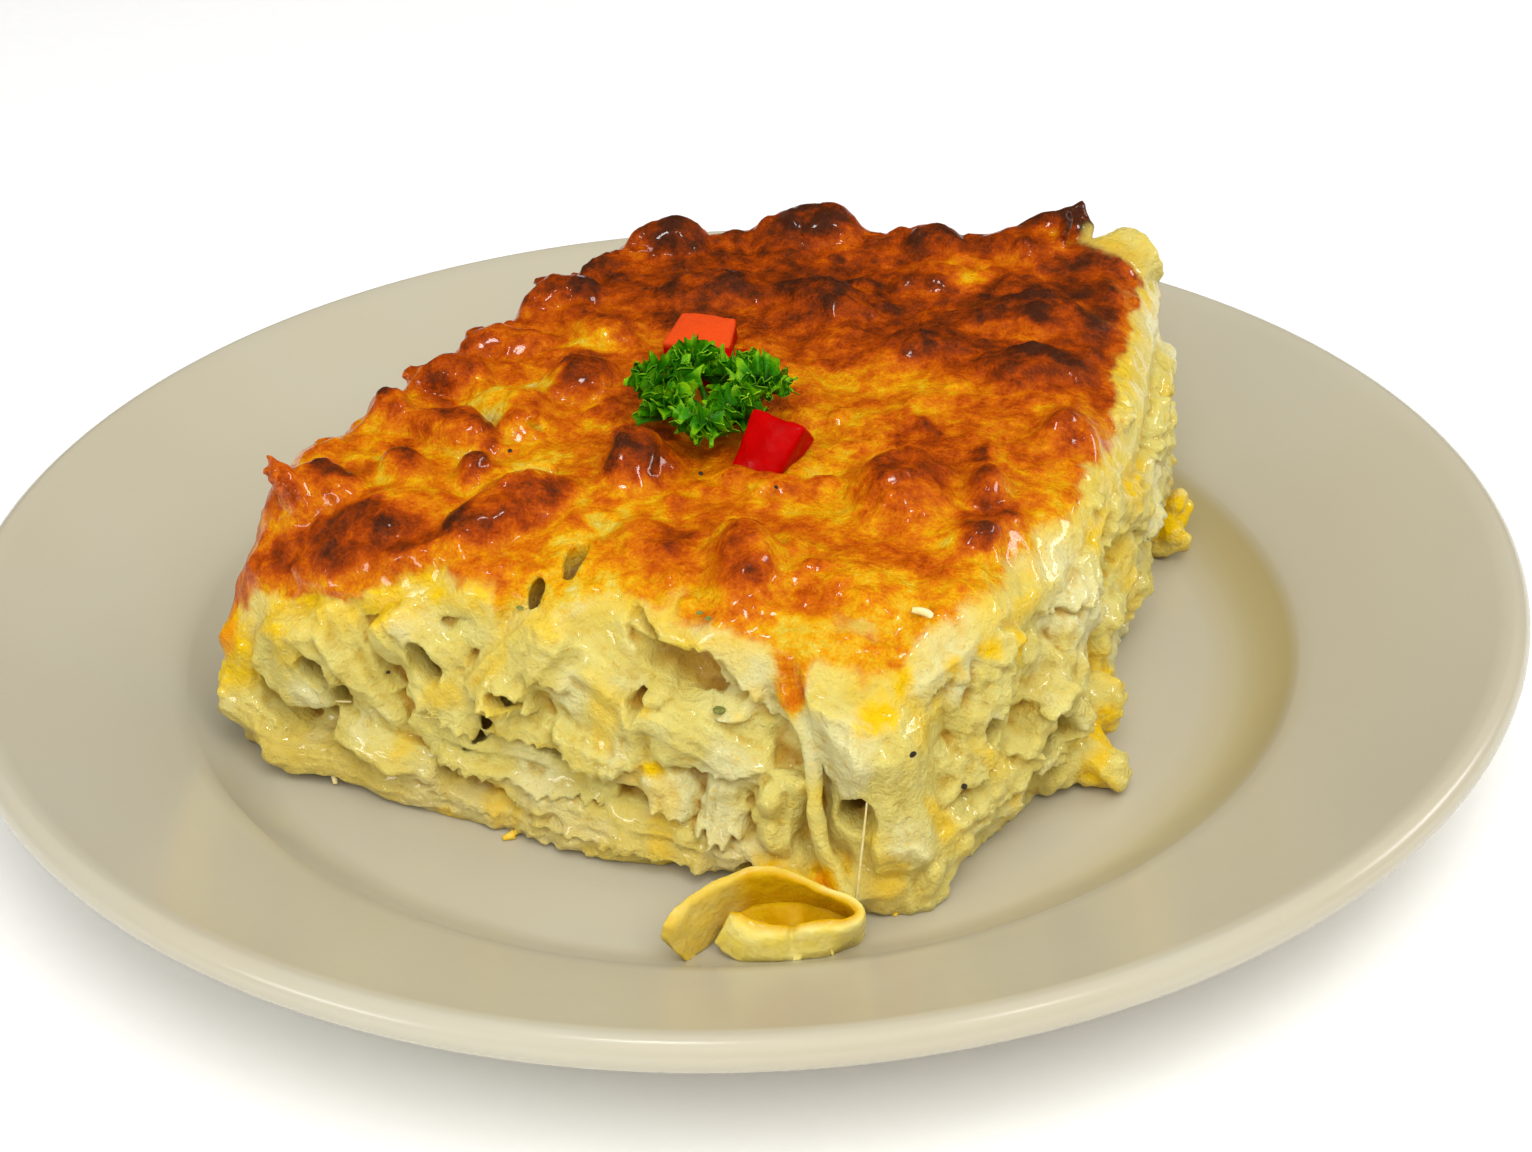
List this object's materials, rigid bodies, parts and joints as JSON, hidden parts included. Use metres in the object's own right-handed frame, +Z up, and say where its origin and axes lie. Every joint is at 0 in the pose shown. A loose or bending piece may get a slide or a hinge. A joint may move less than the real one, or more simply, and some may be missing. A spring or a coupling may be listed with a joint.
{
  "type": "macaroni gratin serving on plate",
  "caption": "Cut square of baked macaroni and cheese with a browned crust, parsley and diced red pepper, on a round wide-rimmed plate.",
  "frame": {"origin": "middle of the plate's foot, on the surface that it stands on", "axes": "+Z up; +X to the right and -Y towards the viewer in the picture; the slab is turned about 24 degrees clockwise seen from above"},
  "size_m": [0.2286, 0.2286, 0.0541],
  "materials": {
    "plate": "glossy warm off-white glaze",
    "gratin": "baked cheese crust, brown to orange, over moist pale yellow pasta in sauce",
    "pasta": "moist cooked pasta with a thin coat of cheese sauce",
    "red_pepper": "glossy wet red skin and flesh",
    "parsley": "fresh curly leaf, satin"
  },
  "bodies": {
    "root": {"plate": "plate", "gratin_slab": "gratin", "loose_macaroni_ring": "pasta", "red_pepper_back": "red_pepper", "red_pepper_middle": "red_pepper", "red_pepper_front": "red_pepper", "parsley_sprig": "parsley"}
  },
  "joints": []
}
